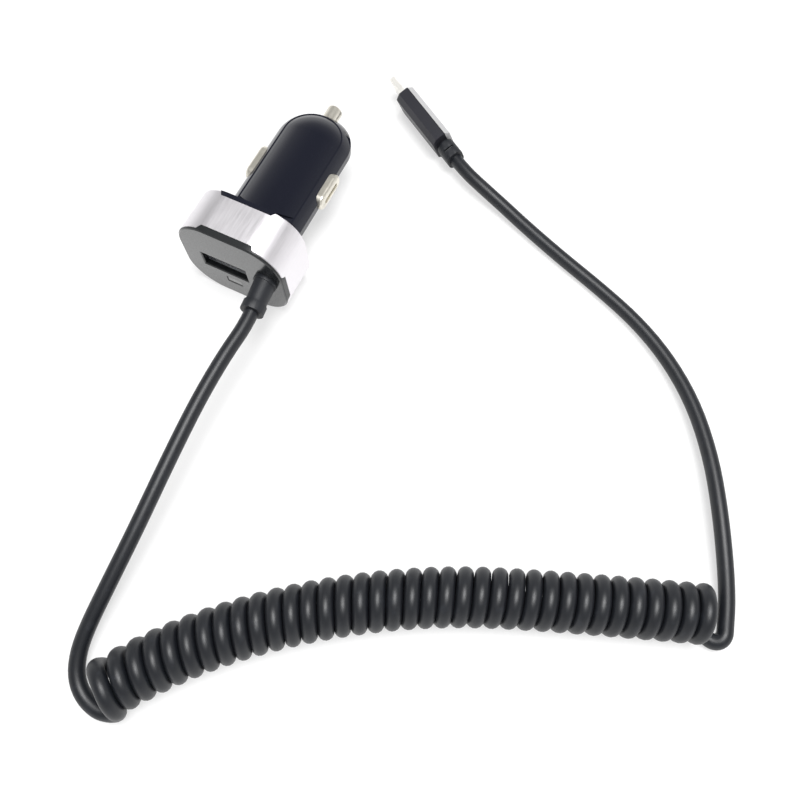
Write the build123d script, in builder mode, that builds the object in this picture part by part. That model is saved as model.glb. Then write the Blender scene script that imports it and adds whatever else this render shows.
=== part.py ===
from build123d import *
import os
from math import cos, pi, radians, sin, sqrt, tan

# Car charger with one USB-A port and a curly lead, lying on a table.
# Millimetres. +X runs along the barrel towards the centre tip, +Y is left and +Z is up.
# The origin is on the table, below the middle of the charger without its cord.

# General clearances
fit = 0.05                    # between pieces that are assembled and stay put
slide_gap = 0.06              # round a contact that slides in its hole
seat_gap = 0.1                # between a sliding contact and its stop

# Head: ring, front cover and rear plate
ring_width = 29.5
ring_height = 26.4
ring_corner = 9.3
ring_length = 12.0
ring_wall = 0.9
ring_edge = 0.3               # bright bevel at both ends of the ring
notch_length = 13.8           # narrow side of the notches in the top and bottom
side_notch_length = 9.4       # the same in the two sides
notch_depth = 1.3
notch_slant = 0.9
cover_rim = 0.6               # lip of the cover ahead of the ring
cover_rim_break = 0.35
cover_plate = 1.6
skirt_wall = 1.1
rear_plate = 1.0

# USB-A receptacle
port_y = 2.7
port_z = -0.65                # from the barrel's axis
port_width = 12.5
port_height = 5.1
port_margin = 0.1             # by which the cover's cut-out is larger on each side
port_lead_in = 0.3
usb_wall = 0.3
tongue_width = 11.1
tongue_thickness = 1.84
tongue_drop = 0.75            # tongue's middle below the port's middle
tongue_recess = 1.0           # tongue's front edge behind the shell's mouth
tongue_base = 1.2
pin_count = 4
pin_pitch = 2.25
pin_width = 1.1
pin_thickness = 0.25
pin_bow = 0.55
pin_front_gap = 0.8

# Window and lamp below the port
window_y = 1.1
window_z = -6.6
window_width = 4.4
window_height = 2.4
window_corner = 0.3
window_lip = 0.5
lamp_width = 3.0
lamp_depth = 1.2
lamp_height = 1.6

# Barrel: a belt with sloping shoulders and two crowned panels, in a flattened section
barrel_radius = 10.5          # half the barrel's width
barrel_length = 30.5          # straight part, from the ring to the nose
nose_length = 9.6
belt_height = 7.0
belt_band = 2.0               # upright band round the belt's middle
belt_wall = 3.6
shoulder = 2.15               # from the band in to the belt's top edge
seam = 0.4                    # narrow ledge round the panels
panel_rise = 2.8              # crown of the panels above the belt
panel_wall = 0.9
root_strip = 3.4              # from the ring to the panels' curved root line
root_sweep = 4.5              # of that line, from its middle to the barrel's sides
passage_gap = 1.2             # beside the board where it enters the barrel
passage_corner = 1.5

# Centre tip and its spring
tip_diameter = 4.3
tip_reach = 3.8               # beyond the nose
tip_edge = 0.7
tip_wall = 2.2                # of the nose round the tip
tip_lip = 0.45
tip_lip_length = 1.2
spring_diameter = 4.4
spring_wire = 0.5
spring_turns = 5
spring_length = 6.0
spigot_length = 1.6

# Side contacts
contact_from_face = 31.4
contact_length = 10.9
contact_height = 4.6
contact_reach = 1.1           # beyond the barrel
contact_edge = 0.9
contact_lip = 0.45
contact_lip_thickness = 0.8
groove_length = 6.6
groove_width = 1.5
groove_depth = 0.5

# Circuit board and what is soldered to it
board_thickness = 1.0
board_wall_gap = 0.5          # from the board's long edges to the barrel's inside
board_head_width = 22.0
board_front_gap = 0.4
choke_diameter = 6.6
choke_waist = 4.8
choke_height = 5.2
choke_flange = 1.1
can_diameter = 6.3
can_height = 7.0
can_groove = 0.4
small_can_diameter = 5.0
small_can_height = 5.2
small_can_y = -7.6
small_can_from_face = 7.6
can_base = 0.8
chip_length = 4.9
chip_width = 3.9
chip_height = 1.5
chip_lift = 0.15
leg_pitch = 1.27
leg_width = 0.42
leg_reach = 1.0
diode_length = 4.3
diode_width = 2.6
diode_height = 2.1
diode_y = -5.5
diode_from_face = 7.6
seat_plate = 0.6
seat_foot = 2.4

# Strain relief in the front face
gland_z = 1.7
gland_yaw = 6.5               # degrees by which the sleeve turns towards the right
gland_foot_diameter = 6.3
gland_foot = 1.0
gland_diameter = 5.7
gland_end_diameter = 5.4
gland_collar_diameter = 6.1
gland_collar = 2.4
gland_length = 9.2
gland_neck = 4.8
gland_flange = 5.6
gland_flange_thickness = 1.0
gland_straight = 4.0          # cord in line with the sleeve

# Cord and the small plug at its far end
cord_diameter = 3.9
coil_diameter = 14.8
plug_end = (38.4, -34.75)     # on the table plan, where the cord enters the plug
plug_heading = 58.0           # degrees from +X
plug_roll = 20.0              # the plug leans on its narrow edge
plug_straight = 5.0           # cord in line with the plug
grip_length = 20.0
grip_width = 5.8
grip_height = 9.6
grip_bevel = 1.4
grip_front_round = 1.1
neck_length = 1.0
neck_diameter = 4.4
collar_length = 5.0
collar_width = 5.0
collar_height = 6.2
collar_round = 2.0
collar_slot = 0.7
collar_slot_length = 3.0
tip_width = 1.8
tip_height = 6.85
tip_length = 6.2
tip_metal = 0.25
tip_round = 0.5
blade_thickness = 0.6
blade_height = 5.6
blade_length = 5.2
blade_pins = 5
blade_pin_pitch = 0.95
blade_pin_width = 0.4
blade_pin_thickness = 0.12

# Places along the barrel's axis, measured back from the front face
ring_front = cover_rim
ring_rear = ring_front + ring_length
plate_front = ring_rear - rear_plate
plate_middle = ring_rear - rear_plate / 2
panel_start = ring_rear + root_strip
nose_start = ring_rear + barrel_length
nose_end = nose_start + nose_length
tip_end = nose_end + tip_reach
tip_seat = nose_end - tip_wall
tip_lip_rear = tip_seat - seat_gap - tip_lip_length
spring_rear = tip_lip_rear - spring_length
board_end = spring_rear

# Sizes that follow from those above
axis_z = ring_height / 2
gland_turn = radians(gland_yaw)
gland_reach = gland_length * cos(gland_turn) + gland_collar_diameter / 2 * sin(gland_turn)
face_x = (gland_reach - tip_end) / 2
bore_width = ring_width - 2 * ring_wall
bore_height = ring_height - 2 * ring_wall
bore_corner = ring_corner - ring_wall
plate_width = bore_width - 2 * fit
plate_height = bore_height - 2 * fit
plate_corner = bore_corner - fit
belt_half = belt_height / 2
band_half = belt_band / 2
belt_top_half = barrel_radius - shoulder
belt_sink = (
    barrel_radius ** 2 + band_half ** 2 - belt_top_half ** 2 - belt_half ** 2
) / (belt_height - belt_band)
belt_round = sqrt(barrel_radius ** 2 + (band_half + belt_sink) ** 2)
panel_half_width = belt_top_half - seam
panel_nose = nose_length * belt_top_half / barrel_radius - seam
panel_radius = (panel_half_width ** 2 + panel_rise ** 2) / (2 * panel_rise)
panel_sink = panel_radius - panel_rise - belt_half
crown_nose = panel_nose * panel_radius / panel_half_width
ceiling_radius = panel_radius - panel_wall
cavity_half_width = barrel_radius - belt_wall
cavity_start = panel_start + root_sweep / 2
usb_length = plate_front - cover_plate - 2 * fit
usb_rear = cover_plate + usb_length
board_top = port_z - port_height / 2 - usb_wall
tongue_z = port_z - tongue_drop
contact_lip_height = contact_height + 2 * contact_lip
contact_seat = cavity_half_width - seat_gap
contact_face = barrel_radius + contact_reach
tip_radius = tip_diameter / 2
board_under = board_top - board_thickness
board_width = 2 * (sqrt(ceiling_radius ** 2 - (panel_sink - board_under) ** 2) - board_wall_gap)
passage_width = board_width + 2 * passage_gap
passage_height = belt_height + panel_rise
gland_y = gland_flange / 2 + skirt_wall + fit - plate_width / 2
seat_front = board_end - seat_plate - seat_foot
part_gap = (seat_front - panel_start - choke_diameter - can_diameter - chip_length) / 4
choke_from_face = panel_start + part_gap + choke_diameter / 2
can_from_face = choke_from_face + (choke_diameter + can_diameter) / 2 + part_gap
chip_from_face = can_from_face + (can_diameter + chip_length) / 2 + part_gap

FACE = Plane(origin=(face_x, 0, axis_z), x_dir=(0, 1, 0), z_dir=(1, 0, 0))
PLAN = Plane(origin=(face_x, 0, axis_z), x_dir=(1, 0, 0), z_dir=(0, 0, 1))
SIDE = Plane(origin=(face_x, 0, axis_z), x_dir=(1, 0, 0), z_dir=(0, -1, 0))
BOARD = PLAN.offset(board_top)
CONTACT = Plane(origin=(face_x + contact_from_face, 0, axis_z), x_dir=(1, 0, 0), z_dir=(0, 1, 0))
FRONT_NOTCHES = ((PLAN, notch_length), (SIDE, side_notch_length))
REAR_NOTCHES = FRONT_NOTCHES[:1]


def bullet(sink, radius, nose):
    """Round bar with an elliptical nose, its axis below the barrel's own by the sink."""
    middle = Plane(origin=(face_x, 0, axis_z - sink), x_dir=(1, 0, 0), z_dir=(0, -1, 0))
    with BuildPart() as bar:
        with BuildSketch(middle):
            with BuildLine():
                Line((plate_middle, 0), (plate_middle, radius))
                Line((plate_middle, radius), (nose_start, radius))
                EllipticalCenterArc((nose_start, 0), nose, radius, start_angle=0, arc_size=90)
                Line((nose_start + nose, 0), (plate_middle, 0))
            make_face()
        revolve(axis=Axis(middle.origin, (1, 0, 0)))
    return bar.part


def tongue_plan(start, half_width, nose):
    """Plan of the barrel: straight sides and an elliptical nose."""
    with BuildSketch() as plan:
        with BuildLine():
            Polyline(
                (nose_start, -half_width),
                (start, -half_width),
                (start, half_width),
                (nose_start, half_width),
            )
            EllipticalCenterArc((nose_start, 0), nose, half_width, start_angle=-90, arc_size=180)
        make_face()
    return plan.sketch


def root_plan(far, shift):
    """Plan between the curved root line of the panels, moved by the shift, and another line."""
    side = panel_start + root_sweep + shift
    with BuildSketch() as plan:
        with BuildLine():
            ThreePointArc((side, -barrel_radius), (panel_start + shift, 0), (side, barrel_radius))
            Polyline(
                (side, barrel_radius),
                (far, barrel_radius),
                (far, -barrel_radius),
                (side, -barrel_radius),
            )
        make_face()
    return plan.sketch


def notch_prisms(edge, inward, shrink, sides):
    """Trapezoid prisms through the head at one edge of the ring, one for each pair of sides."""
    with BuildPart() as prisms:
        for plane, length in sides:
            half = length / 2 - shrink
            depth = inward * (notch_depth - shrink)
            with BuildSketch(plane):
                with BuildLine():
                    Polyline(
                        (edge, half + notch_slant),
                        (edge, -half - notch_slant),
                        (edge + depth, -half),
                        (edge + depth, half),
                        close=True,
                    )
                make_face()
            extrude(amount=ring_width, both=True)
    return prisms.part


def notch_tabs(edge, inward, sides):
    """Tabs that fill the ring's notches flush, at one edge of the ring."""
    with BuildPart() as tabs:
        with BuildSketch(FACE.offset(edge)):
            RectangleRounded(ring_width, ring_height, ring_corner)
            RectangleRounded(plate_width, plate_height, plate_corner, mode=Mode.SUBTRACT)
        extrude(amount=inward * notch_depth)
        add(notch_prisms(edge, inward, fit, sides), mode=Mode.INTERSECT)
    return tabs.part


def arc_radii(points):
    """Largest bend at each corner of a cord's route that its two runs leave room for."""
    route = [Vector(*point) for point in points]
    radii = []
    for before, corner, after in zip(route, route[1:], route[2:]):
        turn = radians((corner - before).get_angle(after - corner))
        shorter = min((corner - before).length, (after - corner).length)
        radii.append(0.45 * shorter / tan(turn / 2))
    return radii


def cord_tube(name, points, diameter):
    """Round tube along straight runs and tangent arcs."""
    radii = arc_radii(points)
    with BuildPart() as tube:
        with BuildLine() as path:
            FilletPolyline(*points, radius=radii)
        with BuildSketch(Plane(origin=path.line @ 0, z_dir=path.line % 0)):
            Circle(diameter / 2)
        sweep(path=path.line)
    length = sum(edge.length for edge in path.edges())
    ratio = tube.part.volume / (pi * diameter ** 2 / 4 * length)
    print(name, "length", round(length, 1), "volume over section times length", round(ratio, 4))
    print("radii", [round(radius, 1) for radius in radii])
    return tube.part


# Head ring: a band with four notches at its front edge and two at its rear edge
with BuildPart() as head_ring:
    with BuildSketch(FACE.offset(ring_front)):
        RectangleRounded(ring_width, ring_height, ring_corner)
    extrude(amount=ring_length)
    ring_ends = head_ring.faces().sort_by(Axis.X)
    chamfer(ring_ends[0].edges() + ring_ends[-1].edges(), ring_edge)
    with BuildSketch(FACE.offset(ring_front)):
        RectangleRounded(bore_width, bore_height, bore_corner)
    extrude(amount=ring_length, mode=Mode.SUBTRACT)
    add(notch_prisms(ring_front, 1, 0, FRONT_NOTCHES), mode=Mode.SUBTRACT)
    add(notch_prisms(ring_rear, -1, 0, REAR_NOTCHES), mode=Mode.SUBTRACT)

# Front cover: lip, plate and skirt, with tabs that fill the ring's front notches
with BuildPart() as front_cover:
    with BuildSketch(FACE):
        RectangleRounded(ring_width, ring_height, ring_corner)
    extrude(amount=cover_rim)
    chamfer(front_cover.faces().sort_by(Axis.X)[0].outer_wire().edges(), cover_rim_break)
    with BuildSketch(FACE.offset(cover_rim)):
        RectangleRounded(plate_width, plate_height, plate_corner)
    extrude(amount=plate_front - cover_rim)
    add(notch_tabs(ring_front, 1, FRONT_NOTCHES))
    with BuildSketch(FACE.offset(cover_plate)):
        RectangleRounded(
            plate_width - 2 * skirt_wall,
            plate_height - 2 * skirt_wall,
            plate_corner - skirt_wall,
        )
    extrude(amount=plate_front - cover_plate, mode=Mode.SUBTRACT)
    with BuildSketch(FACE):
        with Locations((port_y, port_z)):
            Rectangle(port_width + 2 * port_margin, port_height + 2 * port_margin)
        with Locations((gland_y, gland_z)):
            Circle(gland_neck / 2 + fit)
        with Locations((window_y, window_z)):
            RectangleRounded(window_width + 2 * fit, window_height + 2 * fit, window_corner)
    extrude(amount=cover_plate, mode=Mode.SUBTRACT)
    openings = front_cover.faces().sort_by(Axis.X)[0].inner_wires()
    chamfer(openings.sort_by(SortBy.LENGTH)[-1].edges(), port_lead_in)

# Barrel body: the belt with its nose, the crowned root on either side of it, and the rear plate
with BuildPart() as root_crown:
    add(bullet(panel_sink, panel_radius, crown_nose))
    with BuildSketch(PLAN.offset(band_half)):
        add(root_plan(plate_front, -seam))
    extrude(amount=barrel_radius, mode=Mode.INTERSECT)

with BuildPart() as barrel_body:
    with BuildSketch(PLAN):
        add(tongue_plan(plate_middle, barrel_radius, nose_length))
    extrude(amount=belt_half, both=True)
    for sink in (belt_sink, -belt_sink):
        add(bullet(sink, belt_round, nose_length * belt_round / barrel_radius), mode=Mode.INTERSECT)
    add(root_crown.part)
    add(root_crown.part.mirror(PLAN))
    with BuildSketch(FACE.offset(plate_front)):
        RectangleRounded(plate_width, plate_height, plate_corner)
    extrude(amount=rear_plate)
    add(notch_tabs(ring_rear, -1, REAR_NOTCHES))
    with BuildSketch(PLAN):
        add(tongue_plan(cavity_start, cavity_half_width, nose_length - belt_wall))
    extrude(amount=barrel_radius, both=True, mode=Mode.SUBTRACT)
    with BuildSketch(FACE.offset(plate_front - rear_plate)):
        RectangleRounded(passage_width, passage_height, passage_corner)
    extrude(amount=cavity_start + root_strip - plate_front, mode=Mode.SUBTRACT)
    with BuildSketch(FACE.offset(nose_start)):
        Circle(tip_radius + tip_lip + slide_gap)
    extrude(amount=tip_seat - nose_start, mode=Mode.SUBTRACT)
    with BuildSketch(FACE.offset(nose_start)):
        Circle(tip_radius + slide_gap)
    extrude(amount=nose_length + tip_reach, mode=Mode.SUBTRACT)
    with BuildSketch(CONTACT):
        SlotOverall(contact_length + 2 * slide_gap, contact_height + 2 * slide_gap)
    extrude(amount=contact_face, both=True, mode=Mode.SUBTRACT)

# Panels: crowned shells that sit on the belt, above and below
with BuildPart() as top_panel:
    add(bullet(panel_sink, panel_radius, crown_nose))
    with BuildSketch(PLAN.offset(belt_half)):
        add(root_plan(tip_end, 0))
    extrude(amount=barrel_radius, mode=Mode.INTERSECT)
    add(bullet(panel_sink, ceiling_radius, crown_nose - panel_wall), mode=Mode.SUBTRACT)

with BuildPart() as bottom_panel:
    mirror(top_panel.part, about=PLAN)

# USB-A receptacle: folded shell, moulded tongue and its contacts
with BuildPart() as usb_shell:
    with BuildSketch(FACE.offset(cover_plate)):
        with Locations((port_y, port_z)):
            Rectangle(port_width + 2 * usb_wall, port_height + 2 * usb_wall)
            Rectangle(port_width, port_height, mode=Mode.SUBTRACT)
    extrude(amount=usb_length)
    fillet(usb_shell.edges().filter_by(Axis.X), usb_wall / 2)

with BuildPart() as usb_tongue:
    with BuildSketch(FACE.offset(usb_rear - tongue_base)):
        with Locations((port_y, port_z)):
            RectangleRounded(port_width - 2 * fit, port_height - 2 * fit, usb_wall)
    extrude(amount=tongue_base)
    with BuildSketch(FACE.offset(cover_plate + tongue_recess)):
        with Locations((port_y, tongue_z)):
            Rectangle(tongue_width, tongue_thickness)
    extrude(amount=usb_length - tongue_base - tongue_recess)

pin_front = cover_plate + tongue_recess + pin_front_gap
pin_rear = usb_rear - tongue_base
pin_crown = pin_front + 0.3 * (pin_rear - pin_front)
pin_foot = tongue_z + tongue_thickness / 2
with BuildPart() as usb_contacts:
    for index in range(pin_count):
        across = port_y + (index - (pin_count - 1) / 2) * pin_pitch
        with BuildSketch(SIDE.offset(-across)):
            with BuildLine():
                Polyline(
                    (pin_rear, pin_foot),
                    (pin_front, pin_foot),
                    (pin_front, pin_foot + pin_thickness),
                    (pin_crown, pin_foot + pin_bow),
                    ((pin_crown + pin_rear) / 2, pin_foot + pin_thickness),
                    (pin_rear, pin_foot + pin_thickness),
                    close=True,
                )
            make_face()
        extrude(amount=pin_width / 2, both=True)

# Window below the port, with a lip behind the cover
with BuildPart() as led_window:
    with BuildSketch(FACE):
        with Locations((window_y, window_z)):
            RectangleRounded(window_width, window_height, window_corner)
    extrude(amount=cover_plate)
    with BuildSketch(FACE.offset(cover_plate)):
        with Locations((window_y, window_z)):
            Rectangle(window_width + 2 * window_lip, window_height + 2 * window_lip)
    extrude(amount=window_lip)

# Circuit board: wide in the head, narrow in the barrel
with BuildPart() as main_board:
    with BuildSketch(BOARD):
        with Locations((cover_plate + board_front_gap, 0)):
            Rectangle(
                usb_rear - cover_plate - board_front_gap,
                board_head_width,
                align=(Align.MIN, Align.CENTER),
            )
            Rectangle(
                board_end - cover_plate - board_front_gap,
                board_width,
                align=(Align.MIN, Align.CENTER),
            )
    extrude(amount=-board_thickness)

with BuildPart() as status_led:
    with BuildSketch(PLAN.offset(board_under)):
        with Locations((cover_plate + window_lip + fit, window_y)):
            Rectangle(lamp_depth, lamp_width, align=(Align.MIN, Align.CENTER))
    extrude(amount=-lamp_height)

with BuildPart() as choke:
    with BuildSketch(BOARD):
        with Locations((choke_from_face, 0)):
            Circle(choke_diameter / 2)
    extrude(amount=choke_flange)
    with BuildSketch(BOARD.offset(choke_flange)):
        with Locations((choke_from_face, 0)):
            Circle(choke_waist / 2)
    extrude(amount=choke_height - 2 * choke_flange)
    with BuildSketch(BOARD.offset(choke_height - choke_flange)):
        with Locations((choke_from_face, 0)):
            Circle(choke_diameter / 2)
    extrude(amount=choke_flange)


def capacitor_can(from_face, across, diameter, height):
    """Round can with a rolled groove above its foot, standing on the board."""
    with BuildPart() as can:
        for low, high, radius in (
            (0, can_base, diameter / 2),
            (can_base, can_base + can_groove, diameter / 2 - can_groove),
            (can_base + can_groove, height, diameter / 2),
        ):
            with BuildSketch(BOARD.offset(low)):
                with Locations((from_face, across)):
                    Circle(radius)
            extrude(amount=high - low)
    return can.part


with BuildPart() as input_capacitor:
    add(capacitor_can(can_from_face, 0, can_diameter, can_height))

with BuildPart() as output_capacitor:
    add(capacitor_can(small_can_from_face, small_can_y, small_can_diameter, small_can_height))

with BuildPart() as converter_chip:
    with BuildSketch(BOARD.offset(chip_lift)):
        with Locations((chip_from_face, 0)):
            Rectangle(chip_length, chip_width)
    extrude(amount=chip_height - chip_lift)
    with BuildSketch(BOARD):
        for side in (-1, 1):
            for index in range(4):
                along = chip_from_face + (index - 1.5) * leg_pitch
                with Locations((along, side * chip_width / 2)):
                    Rectangle(leg_width, 2 * leg_reach)
    extrude(amount=2 * chip_lift)

with BuildPart() as catch_diode:
    with BuildSketch(PLAN.offset(board_under)):
        with Locations((diode_from_face, diode_y)):
            Rectangle(diode_length, diode_width)
    extrude(amount=-diode_height)

# Terminal at the end of the board that the tip's spring pushes against
with BuildPart() as spring_seat:
    with BuildSketch(FACE.offset(board_end - seat_plate)):
        with Locations((0, board_top)):
            Rectangle(
                spring_diameter,
                spring_diameter / 2 - board_top,
                align=(Align.CENTER, Align.MIN),
            )
    extrude(amount=seat_plate)
    with BuildSketch(BOARD):
        with Locations((seat_front, 0)):
            Rectangle(seat_foot, spring_diameter, align=(Align.MIN, Align.CENTER))
    extrude(amount=seat_plate)

# Centre tip: a turned pin with a lip inside the nose and a spigot for its spring
with BuildPart() as centre_tip:
    with BuildSketch(FACE.offset(tip_lip_rear)):
        Circle(tip_radius + tip_lip)
    extrude(amount=tip_lip_length)
    with BuildSketch(FACE.offset(tip_lip_rear)):
        Circle(tip_radius)
    extrude(amount=tip_end - tip_lip_rear)
    fillet(centre_tip.faces().sort_by(Axis.X)[-1].edges(), tip_edge)
    with BuildSketch(FACE.offset(tip_lip_rear - spigot_length)):
        Circle(spring_diameter / 2 - spring_wire - slide_gap)
    extrude(amount=spigot_length)

spring_pitch = (spring_length - spring_wire) / spring_turns
spring_mean = (spring_diameter - spring_wire) / 2
with BuildPart() as tip_spring:
    with BuildLine() as wire:
        Helix(
            pitch=spring_pitch,
            height=spring_length - spring_wire,
            radius=spring_mean,
            center=(face_x + spring_rear + spring_wire / 2, 0, axis_z),
            direction=(1, 0, 0),
        )
    with BuildSketch(Plane(origin=wire.line @ 0, z_dir=wire.line % 0)):
        Circle(spring_wire / 2)
    sweep(path=wire.line, is_frenet=True)

# Side contacts: stamped buttons with a groove, held behind the belt by a lip
with BuildPart() as side_contact_left:
    with BuildSketch(CONTACT.offset(contact_seat)):
        SlotOverall(contact_length, contact_height)
    extrude(amount=contact_face - contact_seat)
    fillet(side_contact_left.faces().sort_by(Axis.Y)[-1].edges(), contact_edge)
    with BuildSketch(CONTACT.offset(contact_face)):
        SlotOverall(groove_length, groove_width)
    extrude(amount=-groove_depth, mode=Mode.SUBTRACT)
    with BuildSketch(CONTACT.offset(contact_seat)):
        RectangleRounded(contact_length + 2 * contact_lip, contact_lip_height, contact_edge)
    extrude(amount=-contact_lip_thickness)

with BuildPart() as side_contact_right:
    mirror(side_contact_left.part, about=Plane.XZ)

# Strain relief: a grommet in the cover, with a tapered sleeve and a raised collar at its end
gland_place = Vector(face_x, gland_y, axis_z + gland_z)
gland_along = Vector(cos(gland_turn), sin(gland_turn), 0)
gland_across = Vector(sin(gland_turn), -cos(gland_turn), 0)
gland_tip = gland_place - gland_along * gland_length
with BuildPart() as cable_gland:
    with BuildSketch(Plane(origin=gland_place, x_dir=(1, 0, 0), z_dir=(0, -1, 0))):
        with BuildLine():
            Polyline(
                (-gland_foot, 0),
                (-gland_foot, gland_foot_diameter / 2),
                (0, gland_foot_diameter / 2),
                (0, gland_neck / 2),
                (cover_plate, gland_neck / 2),
                (cover_plate, gland_flange / 2),
                (cover_plate + gland_flange_thickness, gland_flange / 2),
                (cover_plate + gland_flange_thickness, 0),
                close=True,
            )
        make_face()
    revolve(axis=Axis(gland_place, (1, 0, 0)))
    with BuildSketch(Plane(origin=gland_place, x_dir=gland_along, z_dir=gland_across)):
        with BuildLine():
            Polyline(
                (-gland_length, 0),
                (-gland_length, gland_collar_diameter / 2),
                (-gland_length + gland_collar, gland_collar_diameter / 2),
                (-gland_length + gland_collar, gland_end_diameter / 2),
                (-gland_foot / 2, gland_diameter / 2),
                (-gland_foot / 2, 0),
                close=True,
            )
        make_face()
    revolve(axis=Axis(gland_place, gland_along))

# Small plug: it leans on its narrow edge, so its height off the table follows from its section
heading = Vector(cos(radians(plug_heading)), sin(radians(plug_heading)), 0)
lean = radians(plug_roll)
flat = grip_width / 2 - grip_bevel
plug_z = max(
    flat * sin(lean) + grip_height / 2 * cos(lean),
    grip_width / 2 * sin(lean) + (grip_height / 2 - grip_bevel) * cos(lean),
)
PLUG = Plane(
    origin=(plug_end[0], plug_end[1], plug_z),
    x_dir=(-heading.Y * cos(lean), heading.X * cos(lean), -sin(lean)),
    z_dir=heading,
)
grip_start = collar_length + neck_length
grip_end = grip_start + grip_length

with BuildPart() as plug_collar:
    with BuildSketch(PLUG):
        RectangleRounded(collar_width, collar_height, collar_round)
    extrude(amount=collar_length)
    with BuildSketch(PLUG.offset(collar_length)):
        Circle(neck_diameter / 2)
    extrude(amount=neck_length)
    with BuildSketch(PLUG.offset(collar_length / 2 - collar_slot / 2)):
        for side in (-1, 1):
            with Locations((0, side * collar_height / 2)):
                Rectangle(collar_slot_length, 2 * collar_slot)
    extrude(amount=collar_slot, mode=Mode.SUBTRACT)

with BuildPart() as plug_grip:
    with BuildSketch(PLUG.offset(grip_start)) as grip_section:
        Rectangle(grip_width, grip_height)
        chamfer(grip_section.vertices(), grip_bevel)
    extrude(amount=grip_length)
    fillet(plug_grip.faces().sort_by(Axis((0, 0, 0), heading))[-1].edges(), grip_front_round)

with BuildPart() as plug_shell:
    with BuildSketch(PLUG.offset(grip_end)):
        RectangleRounded(tip_width, tip_height, tip_round)
        RectangleRounded(
            tip_width - 2 * tip_metal,
            tip_height - 2 * tip_metal,
            tip_round - tip_metal,
            mode=Mode.SUBTRACT,
        )
    extrude(amount=tip_length)

blade_x = tip_metal + fit + blade_thickness / 2 - tip_width / 2
with BuildPart() as plug_tongue:
    with BuildSketch(PLUG.offset(grip_end)):
        with Locations((blade_x, 0)):
            Rectangle(blade_thickness, blade_height)
    extrude(amount=blade_length)

with BuildPart() as plug_contacts:
    with BuildSketch(PLUG.offset(grip_end)):
        for index in range(blade_pins):
            along = (index - (blade_pins - 1) / 2) * blade_pin_pitch
            with Locations((blade_x + blade_thickness / 2, along)):
                Rectangle(blade_pin_thickness, blade_pin_width, align=(Align.MIN, Align.CENTER))
    extrude(amount=blade_length)

# Cord: two leads on straight runs and arcs, and the curly stretch as one round tube
cord_start = tuple(gland_tip)
cord_finish = (plug_end[0], plug_end[1], plug_z)
first_bend = gland_tip - gland_along * gland_straight
last_bend = Vector(*cord_finish) - heading * plug_straight
lead_in_route = [
    cord_start,
    tuple(first_bend),
    (-45.0, -10.8, 14.9),
    (-58.0, -10.9, 14.5),
    (-74.0, -12.0, 13.4),
    (-90.0, -13.1, 11.4),
    (-104.0, -13.3, 8.6),
    (-112.5, -13.2, 6.2),
    (-118.5, -13.7, 4.4),
    (-123.3, -15.6, 3.0),
    (-126.3, -19.1, 2.2),
    (-127.4, -23.6, 2.1),
    (-126.2, -28.2, 2.7),
]
coil_route = [
    (-124.5, -23.3, coil_diameter / 2),
    (-111.5, -31.6, coil_diameter / 2),
    (-92.0, -52.0, coil_diameter / 2),
    (-75.0, -78.2, coil_diameter / 2),
    (-63.1, -105.7, coil_diameter / 2),
    (-50.5, -137.9, coil_diameter / 2),
]
lead_out_route = [
    (-55.9, -136.6, 5.0),
    (-56.6, -139.0, 2.6),
    (-54.6, -142.0, 2.1),
    (-50.6, -142.6, 2.4),
    (-45.5, -140.4, 3.3),
    (-37.5, -137.0, 4.6),
    (-26.5, -132.0, 5.4),
    (-15.0, -126.4, 5.0),
    (-3.4, -118.8, 4.1),
    (6.2, -109.4, 3.0),
    (13.4, -98.6, 2.4),
    (18.8, -86.2, 2.0),
    (23.4, -73.0, 2.1),
    (28.0, -60.6, 2.6),
    (31.0, -52.8, 3.3),
    (33.3, -45.6, 4.4),
    tuple(last_bend),
    cord_finish,
]
with BuildPart() as lead_in:
    add(cord_tube("lead_in", lead_in_route, cord_diameter))

with BuildPart() as curly_cord:
    add(cord_tube("curly_cord", coil_route, coil_diameter))

with BuildPart() as lead_out:
    add(cord_tube("lead_out", lead_out_route, cord_diameter))

pieces = {
    "head_ring": head_ring,
    "front_cover": front_cover,
    "barrel_body": barrel_body,
    "top_panel": top_panel,
    "bottom_panel": bottom_panel,
    "usb_shell": usb_shell,
    "usb_tongue": usb_tongue,
    "usb_contacts": usb_contacts,
    "led_window": led_window,
    "main_board": main_board,
    "status_led": status_led,
    "choke": choke,
    "input_capacitor": input_capacitor,
    "output_capacitor": output_capacitor,
    "converter_chip": converter_chip,
    "catch_diode": catch_diode,
    "spring_seat": spring_seat,
    "centre_tip": centre_tip,
    "tip_spring": tip_spring,
    "side_contact_left": side_contact_left,
    "side_contact_right": side_contact_right,
    "cable_gland": cable_gland,
    "plug_collar": plug_collar,
    "plug_grip": plug_grip,
    "plug_shell": plug_shell,
    "plug_tongue": plug_tongue,
    "plug_contacts": plug_contacts,
    "lead_in": lead_in,
    "curly_cord": curly_cord,
    "lead_out": lead_out,
}
os.makedirs("parts", exist_ok=True)
for name, piece in pieces.items():
    piece.part.label = name
    export_step(piece.part, f"parts/{name}.step")
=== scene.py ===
import math

import bmesh
import bpy
from bpy.props import FloatProperty, FloatVectorProperty, IntProperty, PointerProperty
from mathutils import Matrix, Vector


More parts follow.
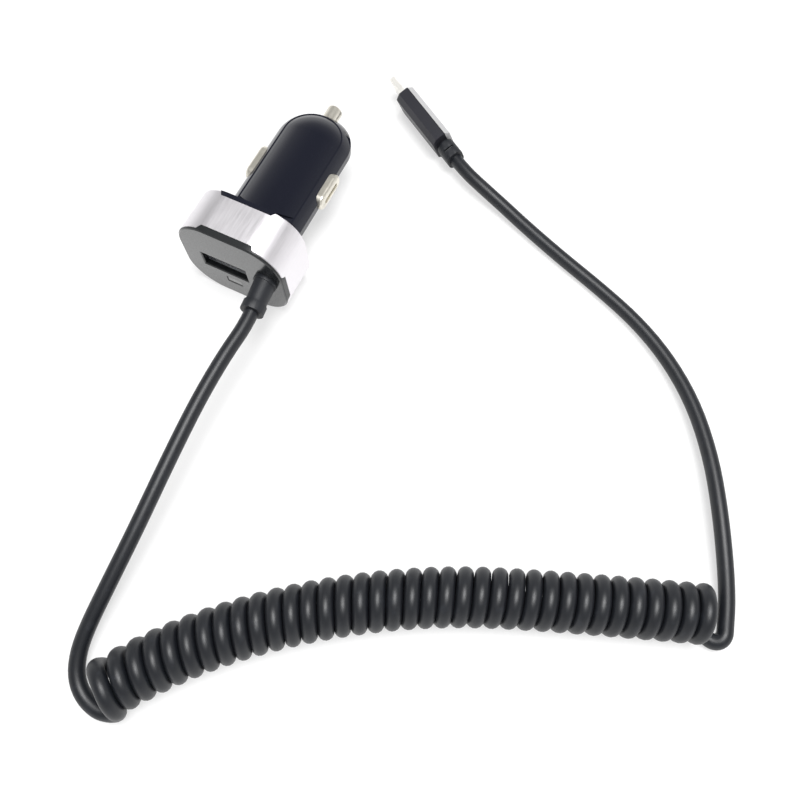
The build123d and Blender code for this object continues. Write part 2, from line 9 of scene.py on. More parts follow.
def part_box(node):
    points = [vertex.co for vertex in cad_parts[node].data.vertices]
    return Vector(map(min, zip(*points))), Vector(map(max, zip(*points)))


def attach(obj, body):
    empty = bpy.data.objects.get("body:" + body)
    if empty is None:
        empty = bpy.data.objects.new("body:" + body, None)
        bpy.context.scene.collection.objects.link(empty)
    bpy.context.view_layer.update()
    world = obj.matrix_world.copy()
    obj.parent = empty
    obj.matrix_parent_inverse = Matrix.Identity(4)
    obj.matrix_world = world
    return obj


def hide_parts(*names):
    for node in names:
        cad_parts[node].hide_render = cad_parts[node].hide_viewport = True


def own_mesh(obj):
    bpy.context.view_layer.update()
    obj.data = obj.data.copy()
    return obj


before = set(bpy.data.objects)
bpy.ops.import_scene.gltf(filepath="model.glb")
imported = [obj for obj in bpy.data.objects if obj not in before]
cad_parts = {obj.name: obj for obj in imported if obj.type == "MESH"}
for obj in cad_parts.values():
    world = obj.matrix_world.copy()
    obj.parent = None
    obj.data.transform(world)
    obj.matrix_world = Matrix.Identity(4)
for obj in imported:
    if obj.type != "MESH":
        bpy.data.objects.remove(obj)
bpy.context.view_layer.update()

bl_info = {
    "name": "Car charger with a curly lead",
    "version": (1, 0, 0),
    "blender": (4, 5, 0),
    "location": "View3D > Sidebar > Car charger",
    "description": "Dresses the packed car charger with its cord, finishes, stage and camera",
    "category": "Object",
}

CHARGER = "charger"
UP = Vector((0, 0, 1))

# Places on the solids that the finishes follow, in metres
WINDOW_LIP = 0.0005  # rim of the window behind the cover
FACE_DEPTH = 0.0002  # from the cover's face to where its sides begin
PLUG_SIDE = Vector((-0.79690, 0.49796, -0.34202))  # from the plug's middle to its left side

# How finely the cable and the spring are drawn
AXIS_STEPS = 24  # from one control point of the coil's axis to the next
CORD_STEPS = 4  # from one control point of the cable to the next
CORD_ROUNDNESS = 6  # extra steps in each half of the cable's section
SPRING_STEPS = 24  # in each turn of the spring
SPRING_SIDES = 12  # of its wire

# Winding of the coil's start
FLARE_TURNS = 0.2  # turns in which the wide start dies away
SLACK_POWER = 4  # how narrowly the slack keeps to the far side

# Stage
SENSOR_WIDTH = 36.0  # millimetres
NEAREST_SEEN = 0.005  # metres
SKY_GREYS = ((0.10, 1.0), (0.45, 0.45), (0.85, 0.16))  # height, grey
FLOOR_GLOW = ((0.25, 0.6), (0.9, 1.0))  # distance from the middle, share

# Vertices of a solid that are closer than this are one
WELD_GAP = 0.000002

# Routes of the cable, in metres: the solids' own points, shifted and rounded at the ends of the coil
LEAD_IN = [
    (-0.032648, -0.010891, 0.0149),
    (-0.036622, -0.011344, 0.0149),
    (-0.0450, -0.0108, 0.0149),
    (-0.0580, -0.0109, 0.0145),
    (-0.0740, -0.0120, 0.0134),
    (-0.0900, -0.0131, 0.0114),
    (-0.1040, -0.0133, 0.0086),
    (-0.1125, -0.0132, 0.0062),
    (-0.1185, -0.0137, 0.0044),
    (-0.1233, -0.0156, 0.0030),
    (-0.1263, -0.0191, 0.0022),
    (-0.1274, -0.0236, 0.0021),
    (-0.1267, -0.0266, 0.0021),
    (-0.12575, -0.02825, 0.0032),
]
COIL_AXIS = [
    (-0.1242, -0.0228, 0.0068),
    (-0.1112, -0.0312, 0.0068),
    (-0.0916, -0.0517, 0.0068),
    (-0.0744, -0.0779, 0.0068),
    (-0.0626, -0.1055, 0.0068),
    (-0.0504, -0.1379, 0.0068),
]
LEAD_OUT = [
    (-0.0546, -0.1383, 0.0019),
    (-0.0553, -0.14017, 0.0020),
    (-0.05455, -0.14195, 0.0020),
    (-0.05275, -0.1426, 0.0021),
    (-0.05086, -0.1420, 0.0024),
    (-0.0455, -0.1404, 0.0033),
    (-0.0375, -0.1370, 0.0046),
    (-0.0265, -0.1320, 0.0054),
    (-0.0150, -0.1264, 0.0050),
    (-0.0034, -0.1188, 0.0041),
    (0.0062, -0.1094, 0.0030),
    (0.0134, -0.0986, 0.0024),
    (0.0188, -0.0862, 0.0020),
    (0.0234, -0.0730, 0.0021),
    (0.0280, -0.0606, 0.0026),
    (0.0310, -0.0528, 0.0033),
    (0.0333, -0.0456, 0.0044),
    (0.03575, -0.03899, 0.005024),
    (0.0384, -0.03475, 0.005024),
]
PLUG_PLACE = Vector(LEAD_OUT[-1])  # where the cable enters the plug


class Signal:
    """A shader socket that takes part in sums and products."""

    def __init__(self, finish, socket):
        self.finish = finish
        self.socket = socket

    def _math(self, operation, first, second):
        return self.finish.node("ShaderNodeMath", {"operation": operation}, {0: first, 1: second})

    def __add__(self, other):
        return self._math("ADD", self, other)

    def __radd__(self, other):
        return self._math("ADD", other, self)

    def __sub__(self, other):
        return self._math("SUBTRACT", self, other)

    def __rsub__(self, other):
        return self._math("SUBTRACT", other, self)

    def __mul__(self, other):
        return self._math("MULTIPLY", self, other)

    def __rmul__(self, other):
        return self._math("MULTIPLY", other, self)

    def __gt__(self, other):
        return self._math("GREATER_THAN", self, other)

    def __lt__(self, other):
        return self._math("LESS_THAN", self, other)


class Finish:
    """Nodes of one material, world or other node tree."""

    def __init__(self, tree):
        self.tree = tree

    def node(self, kind, settings=None, sockets=None, output=0):
        """Adds a node, gives it its settings, then its sockets, and hands back one output."""
        made = self.tree.nodes.new(kind)
        for key, value in (settings or {}).items():
            if key == "stops":
                ramp = made.color_ramp.elements
                while len(ramp) < len(value):
                    ramp.new(1.0)
                for element, (place, grey) in zip(ramp, value):
                    element.position = place
                    element.color = (grey, grey, grey, 1.0)
            else:
                setattr(made, key, value)
        for key, value in (sockets or {}).items():
            if isinstance(value, Signal):
                self.tree.links.new(value.socket, made.inputs[key])
            else:
                made.inputs[key].default_value = value
        return Signal(self, made.outputs[output]) if made.outputs else None

    def place(self, scale=(1.0, 1.0, 1.0), turn=(0.0, 0.0, 0.0)):
        """Object coordinates, stretched and turned."""
        where = self.node("ShaderNodeTexCoord", output=3)
        return self.node("ShaderNodeMapping", {}, {"Vector": where, "Scale": scale, "Rotation": turn})

    def part(self, axis):
        """One object coordinate: 0 for x, 1 for y, 2 for z."""
        return self.node("ShaderNodeSeparateXYZ", {}, {0: self.place()}, output=axis)

    def noise(self, where, scale, detail=2.0, roughness=0.5):
        """Cloudy value from 0 to 1."""
        return self.node(
            "ShaderNodeTexNoise",
            {},
            {"Vector": where, "Scale": scale, "Detail": detail, "Roughness": roughness},
        )

    def ramp(self, value, *stops):
        """Greys at the given places of a value."""
        return self.node("ShaderNodeValToRGB", {"stops": stops}, {0: value})

    def mix(self, factor, first, second):
        """From one colour to another."""
        return self.node(
            "ShaderNodeMix",
            {"data_type": "RGBA"},
            {0: factor, 6: first, 7: second},
            output=2,
        )

    def bump(self, height, strength, distance):
        """Normal of a fine relief."""
        return self.node(
            "ShaderNodeBump",
            {},
            {"Height": height, "Strength": strength, "Distance": distance},
        )


def new_finish(name):
    """Empty material with its nodes."""
    material = bpy.data.materials.new(name)
    material.use_nodes = True
    material.node_tree.nodes.clear()
    return material, Finish(material.node_tree)


def surface(finish, **sockets):
    """Principled shader with the given sockets, joined to the material's output."""
    names = {key: key.replace("_", " ") for key in sockets}
    shader = finish.node("ShaderNodeBsdfPrincipled", {}, {names[k]: v for k, v in sockets.items()})
    finish.node("ShaderNodeOutputMaterial", {}, {"Surface": shader})


def shade(colour, factor):
    """A colour times a number, with full alpha."""
    return (*(min(1.0, channel * factor) for channel in colour), 1.0)


def brushed_aluminium(colour):
    """Satin ring: fine streaks along the barrel and a few dark specks."""
    material, f = new_finish("brushed_aluminium")
    streaks = f.noise(f.place((140.0, 5200.0, 5200.0)), scale=1.0, detail=3.0, roughness=0.62)
    cloud = f.noise(f.place(), scale=160.0, detail=2.0)
    specks = f.ramp(f.noise(f.place(), scale=5200.0, detail=1.0), (0.70, 0.0), (0.78, 1.0))
    tone = f.mix(streaks, shade(colour, 0.90), shade(colour, 1.06))
    surface(
        f,
        Base_Color=f.mix(specks * 0.25, tone, shade(colour, 0.6)),
        Metallic=1.0,
        Roughness=0.30 + streaks * 0.16 + cloud * 0.06,
        Normal=f.bump(streaks, strength=0.12, distance=0.00002),
    )
    return material


def gloss_plastic(colour):
    """Barrel: polished, with hairlines and a little dust."""
    material, f = new_finish("gloss_plastic")
    wave = f.noise(f.place(), scale=180.0, detail=1.0)
    dust = f.ramp(f.noise(f.place(), scale=3400.0, detail=0.0), (0.80, 0.0), (0.84, 1.0))
    hairlines = f.noise(f.place((300.0, 5200.0, 2600.0), (0.0, 0.0, 0.4)), scale=1.0, detail=2.0)
    scuffs = f.ramp(hairlines, (0.66, 0.0), (0.74, 1.0))
    surface(
        f,
        Base_Color=f.mix(dust * 0.05, shade(colour, 1.0), (0.20, 0.21, 0.23, 1.0)),
        Roughness=0.06 + scuffs * 0.05 + dust * 0.06,
        IOR=1.5,
        Normal=f.bump(wave, strength=0.05, distance=0.0001),
    )
    return material


def satin_plastic(colour):
    """Front cover: a polished face, and duller tabs and sides behind it."""
    material, f = new_finish("satin_plastic")
    low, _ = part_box("front_cover")
    grain = f.noise(f.place(), scale=4200.0, detail=2.0)
    cloud = f.noise(f.place(), scale=120.0, detail=2.0)
    side = f.part(0) > low[0] + FACE_DEPTH
    surface(
        f,
        Base_Color=f.mix(cloud, shade(colour, 0.9), shade(colour, 1.15)),
        Roughness=0.20 + grain * 0.10 + cloud * 0.05 + side * 0.10,
        IOR=1.5,
        Coat_Weight=0.75 - side * 0.75,
        Coat_Roughness=0.12,
        Normal=f.bump(grain, strength=0.04, distance=0.00002),
    )
    return material


def cord_rubber(colour):
    """Cable: satin rubber, rubbed paler in places."""
    material, f = new_finish("cord_rubber")
    grain = f.noise(f.place(), scale=3600.0, detail=3.0, roughness=0.6)
    cloud = f.noise(f.place(), scale=90.0, detail=3.0)
    rub = f.ramp(f.noise(f.place(), scale=420.0, detail=4.0, roughness=0.65), (0.55, 0.0), (0.75, 1.0))
    dark = f.mix(cloud, shade(colour, 0.8), shade(colour, 1.15))
    surface(
        f,
        Base_Color=f.mix(rub, dark, shade(colour, 1.7)),
        Roughness=0.38 + grain * 0.12 + rub * 0.06,
        IOR=1.5,
        Normal=f.bump(grain, strength=0.14, distance=0.00003),
    )
    return material


def moulded_rubber(colour):
    """Strain reliefs: duller than the cable."""
    material, f = new_finish("moulded_rubber")
    grain = f.noise(f.place(), scale=4400.0, detail=3.0, roughness=0.6)
    cloud = f.noise(f.place(), scale=260.0, detail=2.0)
    surface(
        f,
        Base_Color=f.mix(cloud, shade(colour, 0.9), shade(colour, 1.4)),
        Roughness=0.46 + grain * 0.14,
        IOR=1.5,
        Normal=f.bump(grain, strength=0.16, distance=0.00003),
    )
    return material


def grip_with_painted_sheen(colour, pale, edge, seam):
    """Dark grip with a painted reflection: a pale sheen painted on its right side, beyond a dark seam along
    that edge.
    """
    material, f = new_finish("grip_with_painted_sheen")
    grain = f.noise(f.place(), scale=5600.0, detail=2.0, roughness=0.6)
    cloud = f.noise(f.place(), scale=180.0, detail=2.0)
    across = f.node(
        "ShaderNodeVectorMath", {"operation": "DOT_PRODUCT"}, {0: f.place(), 1: PLUG_SIDE}, output=1
    )
    across = across - PLUG_PLACE.dot(PLUG_SIDE)
    painted_sheen_side = across < -edge
    joint = (across < seam - edge) - painted_sheen_side
    dark = f.mix(cloud, shade(colour, 0.9), shade(colour, 1.2))
    # Painted reflection: this pale colour stands in for the sheen of the grip's right side
    shell = f.mix(cloud, shade(pale, 0.92), shade(pale, 1.06))
    surface(
        f,
        Base_Color=f.mix(joint, f.mix(painted_sheen_side, dark, shell), shade(colour, 0.2)),
        Roughness=0.34 + grain * 0.14,
        IOR=1.5,
        Normal=f.bump(grain - joint * 2.0, strength=0.16, distance=0.00003),
    )
    return material


def smoked_window(colour, groove):
    """Window with painted shade: a dark line painted in the gap along the left and the lower edge of its
    box, the sides in shade.
    """
    material, f = new_finish("smoked_window")
    low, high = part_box("led_window")
    ripple = f.noise(f.place(), scale=900.0, detail=2.0)
    # Painted shade: masks of the window's left and lower edges, where shade falls in its gap
    left = f.part(1) > high[1] - WINDOW_LIP - groove
    lower = f.part(2) < low[2] + WINDOW_LIP + groove * 2.0
    line = left + lower - left * lower
    glass = f.mix(ripple, shade(colour, 0.8), shade(colour, 1.2))
    surface(
        f,
        Base_Color=f.mix(line, glass, shade(colour, 0.05)),
        Roughness=0.14 + ripple * 0.10 + line * 0.5,
        IOR=1.55,
        Coat_Weight=1.0 - line,
        Coat_Roughness=0.06,
        Normal=f.bump(ripple, strength=0.03, distance=0.00005),
    )
    return material


def plated_metal(name, colour, roughness, turned=(900.0, 900.0, 900.0), metallic=1.0):
    """Contacts and shells: fine lines, stretched by turned, and stains."""
    material, f = new_finish(name)
    lines = f.noise(f.place(turned), scale=1.0, detail=3.0, roughness=0.6)
    stain = f.noise(f.place(), scale=420.0, detail=3.0)
    worn = f.ramp(stain, (0.45, 0.0), (0.72, 1.0))
    surface(
        f,
        Base_Color=f.mix(worn, shade(colour, 1.0), shade(colour, 0.82)),
        Metallic=metallic,
        Roughness=roughness + lines * 0.12 + worn * 0.08,
        Normal=f.bump(lines, strength=0.10, distance=0.00002),
    )
    return material


def moulded_part(name, colour, roughness):
    """Small mouldings with a grain."""
    material, f = new_finish(name)
    grain = f.noise(f.place(), scale=3200.0, detail=3.0)
    cloud = f.noise(f.place(), scale=260.0, detail=2.0)
    surface(
        f,
        Base_Color=f.mix(cloud, shade(colour, 0.8), shade(colour, 1.2)),
        Roughness=roughness + grain * 0.15,
        Normal=f.bump(grain, strength=0.15, distance=0.00003),
    )
    return material


def board_laminate(colour):
    """Circuit board: woven laminate under a lacquer, with paler traces."""
    material, f = new_finish("board_laminate")
    weave_x = f.node("ShaderNodeTexWave", {"bands_direction": "X"}, {"Vector": f.place(), "Scale": 320.0})
    weave_y = f.node("ShaderNodeTexWave", {"bands_direction": "Y"}, {"Vector": f.place(), "Scale": 320.0})
    weave = weave_x * weave_y
    traces = f.ramp(f.noise(f.place((1.0, 4.0, 1.0)), scale=160.0, detail=1.0), (0.50, 0.0), (0.52, 1.0))
    surface(
        f,
        Base_Color=f.mix(traces, f.mix(weave, shade(colour, 0.85), shade(colour, 1.1)), shade(colour, 1.7)),
        Roughness=0.32 + weave * 0.12,
        Normal=f.bump(weave + traces * 0.8, strength=0.12, distance=0.00002),
    )
    return material


def give(material, *nodes):
    """Puts a material on CAD nodes."""
    for name in nodes:
        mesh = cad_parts[name].data
        mesh.materials.clear()
        mesh.materials.append(material)


def soften(name, width, angle=40.0, segments=3):
    """Rounds the sharp edges of a CAD node with live modifiers."""
    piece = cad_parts[name]
    weld = piece.modifiers.new("weld", "WELD")
    weld.merge_threshold = WELD_GAP
    bevel = piece.modifiers.new("edge_round", "BEVEL")
    bevel.limit_method = "ANGLE"
    bevel.angle_limit = math.radians(angle)
    bevel.width = width
    bevel.segments = segments
    bevel.profile = 0.5
    bevel.harden_normals = True


def open_nurbs(name, points, resolution):
    """Curve of one open smooth spline with these control points."""
    curve = bpy.data.curves.new(name, "CURVE")
    curve.dimensions = "3D"
    curve.resolution_u = resolution
    spline = curve.splines.new("NURBS")
    spline.points.add(len(points) - 1)
    for control, point in zip(spline.points, points):
        control.co = (*point, 1.0)
    spline.order_u = 3
    spline.use_endpoint_u = True
    spline.resolution_u = resolution
    return curve


def read_line(points):
    """Points read from a smooth spline, with their distance from its start."""
    holder = bpy.data.objects.new("coil_axis", open_nurbs("coil_axis", points, AXIS_STEPS))
    mesh = bpy.data.meshes.new_from_object(holder)
    line = [vertex.co.copy() for vertex in mesh.vertices]
    curve = holder.data
    bpy.data.objects.remove(holder)
    bpy.data.curves.remove(curve)
    bpy.data.meshes.remove(mesh)
    along = [0.0]
    for before, after in zip(line, line[1:]):
        along.append(along[-1] + (after - before).length)
    return line, along


def at_distance(line, along, distance):
    """Point and heading on a line at a distance from its start."""
    index = 0
    while index < len(along) - 2 and along[index + 1] < distance:
        index += 1
    step = line[index + 1] - line[index]
    share = (distance - along[index]) / (along[index + 1] - along[index])
    return line[index] + step * share, step.normalized()


def helix_points(sizes):
    """Control points of the curly stretch, wound round the coil's axis and looser at its start."""
    line, along = read_line(COIL_AXIS)
    count = sizes.coil_turn_points
    full = 2 * math.pi
    steps = round((sizes.coil_last_turn - sizes.coil_first_turn) * count)
    points = []
    for index in range(steps + 1):
        turn = sizes.coil_first_turn + (sizes.coil_last_turn - sizes.coil_first_turn) * index / steps
        angle = full * turn
        far_share = ((1 - math.cos(angle)) / 2) ** SLACK_POWER
        lag = sizes.coil_slack * math.exp(-turn) * far_share
        centre, heading = at_distance(line, along, sizes.coil_start + sizes.coil_pitch * turn - lag)
        near = Vector((heading.y, -heading.x, 0)).normalized()
        flare = sizes.coil_flare * math.exp(-turn / FLARE_TURNS)
        reach = (sizes.coil_radius + flare) / math.cos(math.pi / count)
        points.append(centre + reach * (near * math.cos(angle) + UP * math.sin(angle)))
    return points


def length_property(name, description, default):
    """A length that a user may change."""
    return FloatProperty(name=name, description=description, default=default, unit="LENGTH")


def place_property(name, description, default):
    """A place that a user may change."""
    return FloatVectorProperty(
        name=name, description=description, default=default, subtype="XYZ", unit="LENGTH"
    )


def colour_property(name, description, default):
    """A colour that a user may change."""
    return FloatVectorProperty(
        name=name, description=description, default=default, subtype="COLOR", size=3, min=0.0, max=1.0
    )


class ChargerSizes(bpy.types.PropertyGroup):
    """Sizes of what is added to the solids."""

    cord_diameter: length_property("Cord diameter", "Thickness of the cable", 0.0037)
    cord_length: length_property("Cord length", "Length of the cable along its line", 1.38)
    coil_radius: length_property("Coil radius", "Coil's radius at the middle of the cable", 0.0049)
    coil_pitch: length_property("Coil pitch", "Distance between turns along the axis", 0.003782)
    coil_start: length_property("Coil start", "From the axis's start to the first turn", 0.0027)
    coil_first_turn: FloatProperty(
        name="First turn", description="Where the winding starts, in turns", default=-0.06
    )
    coil_last_turn: FloatProperty(
        name="Last turn", description="Where the winding ends, in turns", default=35.78
    )
    coil_turn_points: IntProperty(
        name="Points a turn", description="Control points for each turn of the coil", default=16
    )
    coil_slack: length_property("Coil slack", "How far the first turns lag behind", 0.0026)
    coil_flare: length_property("Coil flare", "How far the first turn opens out", 0.0006)
    spring_wire: length_property("Spring wire", "Thickness of the tip spring's wire", 0.0005)
    spring_turns: IntProperty(name="Spring turns", description="Turns of the tip's spring", default=5)
    tip_travel: length_property("Tip travel", "How far the centre tip goes in", 0.003)
    # Where the painted reflection on the grip's right side begins
    grip_edge: length_property("Grip edge", "From the plug's middle to its pale side", 0.00155)
    grip_seam: length_property("Grip seam", "Width of the seam along the plug", 0.0002)
    # Width of the painted shade along the window's left and lower edges
    window_painted_shade_width: length_property("Window groove", "Width of the dark line at the window's edge", 0.0004)
    edge_round: length_property("Edge rounding", "Width of the rounded plastic edges", 0.00022)


class ChargerColours(bpy.types.PropertyGroup):
    """Colours of the finishes."""

    aluminium: colour_property("Aluminium", "Satin ring round the head", (0.885, 0.862, 0.89))
    gloss_black: colour_property("Gloss black", "Barrel and its panels", (0.008, 0.009, 0.016))
    satin_black: colour_property("Satin black", "Front cover", (0.008, 0.0095, 0.0105))
    rubber: colour_property("Rubber", "Cable and strain reliefs", (0.0072, 0.0086, 0.0118))
    grip: colour_property("Grip", "Body of the small plug", (0.016, 0.016, 0.022))
    # Pale colour of the grip's right side: a painted reflection that stands in for its sheen
    grip_painted_sheen: colour_property("Grip side", "Pale side shell of the small plug", (0.44, 0.44, 0.445))
    window: colour_property("Window", "Small window below the port", (0.035, 0.036, 0.037))
    nickel: colour_property("Nickel", "Contacts and metal shells", (0.96, 0.94, 0.89))
    contact: colour_property("Contact", "Sprung tip and side contacts", (0.82, 0.785, 0.695))
    port_steel: colour_property("Port steel", "Shell and pins of the port", (0.84, 0.85, 0.87))
    brass: colour_property("Brass", "Terminal behind the spring", (0.76, 0.58, 0.28))
    spring_steel: colour_property("Spring steel", "Spring of the centre tip", (0.58, 0.58, 0.60))
    board: colour_property("Board", "Circuit board", (0.012, 0.075, 0.030))
    ferrite: colour_property("Ferrite", "Choke and chip", (0.030, 0.030, 0.032))
    tongue: colour_property("Tongue", "Plastic tongue of the port", (0.21, 0.215, 0.22))
    can: colour_property("Can", "Capacitor cans", (0.70, 0.71, 0.73))
    lamp: colour_property("Lamp", "Lamp behind the window", (0.72, 0.74, 0.70))


class ChargerStage(bpy.types.PropertyGroup):
    """Camera and light."""

    camera_place: place_property("Camera place", "Where the camera stands", (-0.0943, -0.0811, 0.1797))
    camera_heading: FloatVectorProperty(
        name="Camera heading",
        description="Where the camera looks",
        default=(0.3214, 0.1548, -0.9342),
        subtype="DIRECTION",
    )
    camera_lens: FloatProperty(
        name="Lens", description="Focal length on a 36 mm sensor", default=33.8, unit="CAMERA"
    )
    lamp_power: FloatProperty(
        name="Lamp power", description="Power of the soft lamp overhead", default=5.2, unit="POWER"
    )
    lamp_width: length_property("Lamp width", "Diameter of the soft lamp", 0.36)
    lamp_place: place_property("Lamp place", "Where the lamp hangs", (-0.02, -0.10, 0.62))
    lamp_target: place_property("Lamp target", "Where the lamp points", (-0.04, -0.06, 0.0))
    floor_half: length_property("Floor half width", "From the middle of the floor to its edge", 1.5)


class CHARGER_OT_cord(bpy.types.Operator):
    """Lay the cable from the strain relief through its coil to the small plug"""

    bl_idname = "charger.cord"
    bl_label = "Cable"

    def execute(self, context):
        sizes = context.scene.charger_sizes
        points = [Vector(p) for p in LEAD_IN] + helix_points(sizes) + [Vector(p) for p in LEAD_OUT]
        curve = open_nurbs("cord", points, CORD_STEPS)
        curve.bevel_depth = sizes.cord_diameter / 2
        curve.bevel_resolution = CORD_ROUNDNESS
        curve.use_fill_caps = True
        curve.materials.append(cord_rubber(context.scene.charger_colours.rubber))
        cord = bpy.data.objects.new("cord", curve)
        context.scene.collection.objects.link(cord)
        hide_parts("lead_in", "curly_cord", "lead_out")
        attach(cord, CHARGER)
        return {"FINISHED"}


class CHARGER_OT_ring(bpy.types.Operator):
    """Finish the satin aluminium ring round the head"""

    bl_idname = "charger.ring"
    bl_label = "Ring"

    def execute(self, context):
        give(brushed_aluminium(context.scene.charger_colours.aluminium), "head_ring")
        return {"FINISHED"}


class CHARGER_OT_housing(bpy.types.Operator):
    """Finish the front cover, the barrel and its panels"""

    bl_idname = "charger.housing"
    bl_label = "Housing"

    def execute(self, context):
        colours = context.scene.charger_colours
        give(gloss_plastic(colours.gloss_black), "barrel_body", "top_panel", "bottom_panel")
        give(satin_plastic(colours.satin_black), "front_cover")
        give(smoked_window(colours.window, context.scene.charger_sizes.window_painted_shade_width), "led_window")
        return {"FINISHED"}


class CHARGER_OT_port(bpy.types.Operator):
    """Finish the USB receptacle"""

    bl_idname = "charger.port"
    bl_label = "USB port"

    def execute(self, context):
        colours = context.scene.charger_colours
        drawn = plated_metal(
            "port_shell_metal", colours.port_steel, roughness=0.22, turned=(120.0, 2400.0, 2400.0)
        )
        give(drawn, "usb_shell")
        give(moulded_part("port_tongue_plastic", colours.tongue, roughness=0.40), "usb_tongue")
        give(plated_metal("pin_metal", colours.port_steel, roughness=0.18), "usb_contacts")
        return {"FINISHED"}


class CHARGER_OT_contacts(bpy.types.Operator):
    """Finish the sprung tip and the side contacts"""

    bl_idname = "charger.contacts"
    bl_label = "Sprung contacts"

    def execute(self, context):
        colours = context.scene.charger_colours
        give(
            plated_metal("contact_nickel", colours.contact, roughness=0.24, metallic=0.9),
            "centre_tip",
            "side_contact_left",
            "side_contact_right",
        )
        give(plated_metal("seat_brass", colours.brass, roughness=0.28), "spring_seat")
        return {"FINISHED"}


class CHARGER_OT_spring(bpy.types.Operator):
    """Wind the tip's spring"""

    bl_idname = "charger.spring"
    bl_label = "Tip spring"

    def execute(self, context):
        sizes = context.scene.charger_sizes
        low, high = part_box("tip_spring")
        middle = (low + high) / 2
        length = high.x - low.x
        wire = sizes.spring_wire
        reach = (high.y - low.y - wire) / 2
        steps = sizes.spring_turns * SPRING_STEPS
        shape = bmesh.new()
        bmesh.ops.create_circle(shape, segments=SPRING_SIDES, radius=wire / 2)
        bmesh.ops.rotate(shape, matrix=Matrix.Rotation(math.pi / 2, 3, "X"), verts=shape.verts)
        bmesh.ops.translate(shape, vec=(low.x + wire / 2, middle.y, middle.z + reach), verts=shape.verts)
        bmesh.ops.spin(
            shape,
            geom=shape.verts[:] + shape.edges[:],
            cent=middle,
            axis=(1.0, 0.0, 0.0),
            dvec=((length - wire) / steps, 0.0, 0.0),
            angle=2 * math.pi * sizes.spring_turns,
            steps=steps,
        )
        bmesh.ops.holes_fill(shape, edges=shape.edges)
        bmesh.ops.recalc_face_normals(shape, faces=shape.faces)
        mesh = bpy.data.meshes.new("wound_spring")
        shape.to_mesh(mesh)
        shape.free()
        for face in mesh.polygons:
            face.use_smooth = len(face.vertices) == 4
        steel = context.scene.charger_colours.spring_steel
        mesh.materials.append(plated_metal("spring_wire", steel, roughness=0.26))
        spring = bpy.data.objects.new("wound_spring", mesh)
        context.scene.collection.objects.link(spring)
        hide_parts("tip_spring")
        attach(spring, CHARGER)
        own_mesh(spring)
        return {"FINISHED"}


class CHARGER_OT_board(bpy.types.Operator):
    """Finish the circuit board and what is soldered to it"""

    bl_idname = "charger.board"
    bl_label = "Circuit board"

    def execute(self, context):
        colours = context.scene.charger_colours
        give(board_laminate(colours.board), "main_board")
        ferrite = moulded_part("ferrite_core", colours.ferrite, roughness=0.50)
        give(ferrite, "choke", "converter_chip", "catch_diode")
        can = plated_metal("capacitor_can", colours.can, roughness=0.30, turned=(2400.0, 2400.0, 160.0))
        give(can, "input_capacitor", "output_capacitor")
        give(moulded_part("lamp_lens", colours.lamp, roughness=0.25), "status_led")
        return {"FINISHED"}


class CHARGER_OT_gland(bpy.types.Operator):
    """Finish the strain relief in the front face"""

    bl_idname = "charger.gland"
    bl_label = "Strain relief"

    def execute(self, context):
        give(moulded_rubber(context.scene.charger_colours.rubber), "cable_gland", "plug_collar")
        soften("cable_gland", context.scene.charger_sizes.edge_round)
        soften("plug_collar", context.scene.charger_sizes.edge_round)
        return {"FINISHED"}


class CHARGER_OT_plug(bpy.types.Operator):
    """Finish the small plug at the cable's far end"""

    bl_idname = "charger.plug"
    bl_label = "Small plug"

    def execute(self, context):
        colours = context.scene.charger_colours
        sizes = context.scene.charger_sizes
        grip = grip_with_painted_sheen(colours.grip, colours.grip_painted_sheen, sizes.grip_edge, sizes.grip_seam)
        give(grip, "plug_grip")
        shell = plated_metal(
            "plug_shell_metal", colours.nickel, roughness=0.26, turned=(1500.0, 1500.0, 300.0), metallic=0.5
        )
        give(shell, "plug_shell")
        give(moulded_part("plug_tongue_plastic", colours.ferrite, roughness=0.40), "plug_tongue")
        give(plated_metal("plug_pin_metal", colours.brass, roughness=0.18), "plug_contacts")
        return {"FINISHED"}


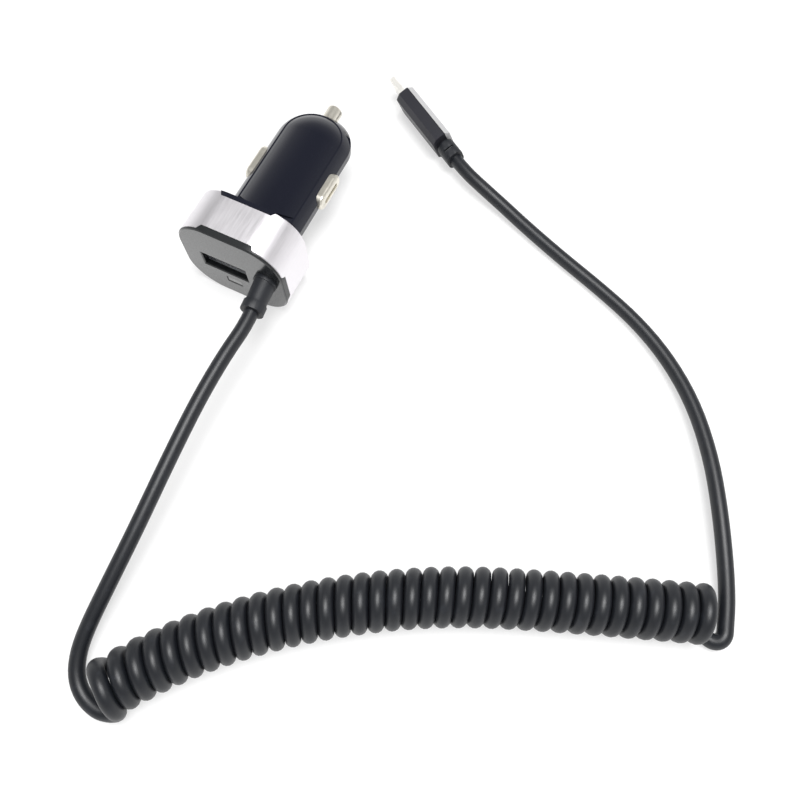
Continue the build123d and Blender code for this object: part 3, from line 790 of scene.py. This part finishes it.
class CHARGER_OT_stage(bpy.types.Operator):
    """Set the pale floor, the soft light and the camera"""

    bl_idname = "charger.stage"
    bl_label = "Stage"

    def execute(self, context):
        scene = context.scene
        setup = scene.charger_stage
        scene.view_settings.view_transform = "Standard"
        self.lay_floor(scene, setup)
        self.light(scene, setup)
        camera = bpy.data.objects.new("camera", bpy.data.cameras.new("camera"))
        camera.data.lens = setup.camera_lens
        camera.data.sensor_width = SENSOR_WIDTH
        camera.data.clip_start = NEAREST_SEEN
        camera.location = setup.camera_place
        camera.rotation_euler = Vector(setup.camera_heading).to_track_quat("-Z", "Y").to_euler()
        scene.collection.objects.link(camera)
        scene.camera = camera
        return {"FINISHED"}

    def lay_floor(self, scene, setup):
        """Pale table that keeps the shadow."""
        shape = bmesh.new()
        bmesh.ops.create_grid(shape, x_segments=2, y_segments=2, size=setup.floor_half)
        mesh = bpy.data.meshes.new("floor")
        shape.to_mesh(mesh)
        shape.free()
        floor = bpy.data.objects.new("floor", mesh)
        scene.collection.objects.link(floor)
        material, f = new_finish("white_table")
        mottle = f.noise(f.place(), scale=40.0, detail=2.0)
        matt = f.node(
            "ShaderNodeBsdfPrincipled",
            {},
            {
                "Base Color": f.mix(mottle, (0.93, 0.93, 0.93, 1.0), (0.95, 0.95, 0.95, 1.0)),
                "Roughness": 0.6,
                "Specular IOR Level": 0.2,
            },
        )
        glow = f.node("ShaderNodeEmission", {}, {"Color": (1.0, 1.0, 1.0, 1.0), "Strength": 1.0})
        rays = ("Is Camera Ray", "Is Glossy Ray", "Is Transmission Ray")
        seen = [f.node("ShaderNodeLightPath", output=name) for name in rays]
        spread = f.node("ShaderNodeVectorMath", {"operation": "LENGTH"}, {0: f.place()}, output=1)
        share = (seen[0] + seen[1] + seen[2]) * f.ramp(spread, *FLOOR_GLOW)
        mixed = f.node("ShaderNodeMixShader", {}, {0: share, 1: matt, 2: glow})
        f.node("ShaderNodeOutputMaterial", {}, {"Surface": mixed})
        mesh.materials.append(material)

    def light(self, scene, setup):
        """Grey sky and one soft lamp."""
        world = bpy.data.worlds.new("studio")
        world.use_nodes = True
        world.node_tree.nodes.clear()
        f = Finish(world.node_tree)
        height = f.node("ShaderNodeSeparateXYZ", {}, {0: f.node("ShaderNodeTexCoord", output=0)}, output=2)
        grey = f.ramp(height, *SKY_GREYS)
        sky = f.node("ShaderNodeBackground", {}, {"Color": grey, "Strength": 1.0})
        f.node("ShaderNodeOutputWorld", {}, {"Surface": sky})
        scene.world = world
        lamp = bpy.data.lights.new("overhead", "AREA")
        lamp.shape = "DISK"
        lamp.size = setup.lamp_width
        lamp.energy = setup.lamp_power
        overhead = bpy.data.objects.new("overhead", lamp)
        overhead.location = setup.lamp_place
        downwards = Vector(setup.lamp_target) - Vector(setup.lamp_place)
        overhead.rotation_euler = downwards.to_track_quat("-Z", "Y").to_euler()
        scene.collection.objects.link(overhead)


GROUPS = {
    "charger_sizes": ChargerSizes,
    "charger_colours": ChargerColours,
    "charger_stage": ChargerStage,
}
OPERATORS = (
    CHARGER_OT_cord,
    CHARGER_OT_ring,
    CHARGER_OT_housing,
    CHARGER_OT_port,
    CHARGER_OT_contacts,
    CHARGER_OT_spring,
    CHARGER_OT_board,
    CHARGER_OT_gland,
    CHARGER_OT_plug,
    CHARGER_OT_stage,
)


class CHARGER_PT_panel(bpy.types.Panel):
    """Lists the steps that dress the charger"""

    bl_idname = "CHARGER_PT_panel"
    bl_label = "Car charger"
    bl_space_type = "VIEW_3D"
    bl_region_type = "UI"
    bl_category = "Car charger"

    def draw(self, context):
        for group in GROUPS:
            owner = getattr(context.scene, group)
            for key in owner.__annotations__:
                self.layout.prop(owner, key)
        for operator in OPERATORS:
            self.layout.operator(operator.bl_idname)


CLASSES = (*GROUPS.values(), *OPERATORS, CHARGER_PT_panel)


def register():
    for cls in CLASSES:
        bpy.utils.register_class(cls)
    for name, group in GROUPS.items():
        setattr(bpy.types.Scene, name, PointerProperty(type=group))


def unregister():
    for name in GROUPS:
        delattr(bpy.types.Scene, name)
    for cls in reversed(CLASSES):
        bpy.utils.unregister_class(cls)


def main():
    register()
    for operator in OPERATORS:
        group, name = operator.bl_idname.split(".")
        getattr(getattr(bpy.ops, group), name)()


if __name__ == "__main__":
    main()
